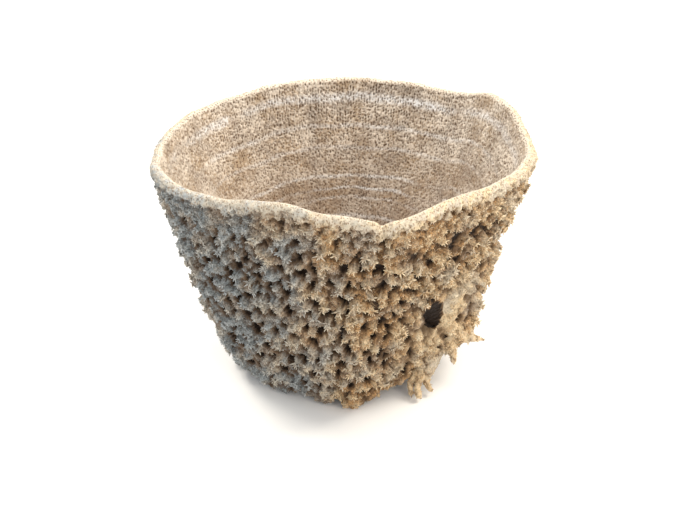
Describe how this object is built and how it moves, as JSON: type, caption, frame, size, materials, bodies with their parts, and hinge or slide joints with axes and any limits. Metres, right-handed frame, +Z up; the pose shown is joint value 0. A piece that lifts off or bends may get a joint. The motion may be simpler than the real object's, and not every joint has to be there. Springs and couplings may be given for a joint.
{
  "type": "sea sponge",
  "caption": "Dried vase-shaped sea sponge: a flared cup, tufted and pitted outside, smooth and finely pored inside, cut off flat below so that it stands",
  "frame": {"origin": "middle of the flat cut that the sponge stands on", "axes": "+Z up through the mouth of the cup, -Y towards the side with the burrow and the pinched fold in the lip, +X towards the side with the raised flange"},
  "size_m": [0.2361, 0.2388, 0.1658],
  "materials": {
    "sponge": "dried matte fibre"
  },
  "bodies": {
    "root": {"sponge": "sponge"}
  },
  "joints": []
}
